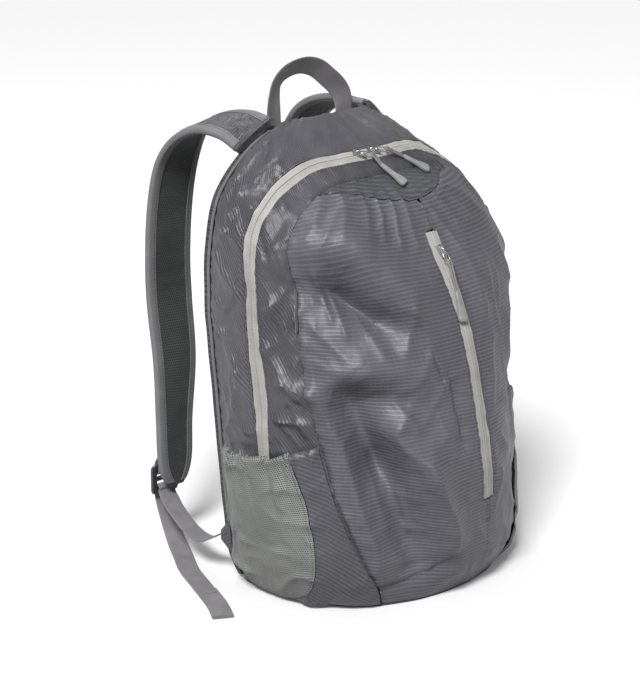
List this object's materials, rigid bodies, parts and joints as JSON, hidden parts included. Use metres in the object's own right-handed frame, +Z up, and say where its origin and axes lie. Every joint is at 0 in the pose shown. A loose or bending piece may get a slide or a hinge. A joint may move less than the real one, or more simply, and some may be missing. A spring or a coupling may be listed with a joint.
{
  "type": "backpack",
  "caption": "Light packable daypack of grey ripstop nylon with a curved main zip, centre pocket zip, side mesh pockets, shoulder straps and a haul loop.",
  "frame": {"origin": "middle of the flat base, on the ground", "axes": "+X to the wearer's right, +Y towards the padded back, +Z up"},
  "size_m": [0.4248, 0.3331, 0.4881],
  "materials": {
    "nylon": "grey ripstop nylon with a light sheen",
    "nylon_dark": "dark grey nylon",
    "zip_tape": "light grey zip tape and coil",
    "pocket_mesh": "grey-green stretch mesh",
    "air_mesh": "dark padded air mesh",
    "webbing": "grey woven webbing and cord",
    "plastic": "dark moulded plastic",
    "metal": "silver zip sliders",
    "rubber": "light grey moulded pull"
  },
  "bodies": {
    "root": {"bottom_panel": "nylon_dark", "rear_gusset": "nylon", "front_gusset": "nylon", "main_zip": "zip_tape", "pocket_zip": "zip_tape", "stow_pocket_cap": "nylon", "front_panel_left": "nylon", "front_panel_right": "nylon", "back_panel": "air_mesh", "side_pocket_mesh_left": "pocket_mesh", "side_pocket_panel_left": "nylon_dark", "side_pocket_mesh_right": "pocket_mesh", "side_pocket_panel_right": "nylon_dark", "strap_left": "nylon_dark", "strap_right": "nylon_dark", "webbing_left": "webbing", "webbing_right": "webbing", "ladder_lock_left": "plastic", "ladder_lock_right": "plastic", "strap_keeper_left": "webbing", "strap_keeper_right": "webbing", "strap_tab_left": "nylon_dark", "strap_tab_right": "nylon_dark", "haul_loop": "webbing", "side_loop_tag": "webbing", "main_left_slider": "metal", "main_left_link": "metal", "main_left_cord": "webbing", "main_left_grip": "rubber", "main_right_slider": "metal", "main_right_link": "metal", "main_right_cord": "webbing", "main_right_grip": "rubber", "pocket_slider": "metal", "pocket_link": "metal", "pocket_cord": "webbing", "pocket_grip": "rubber"}
  },
  "joints": []
}
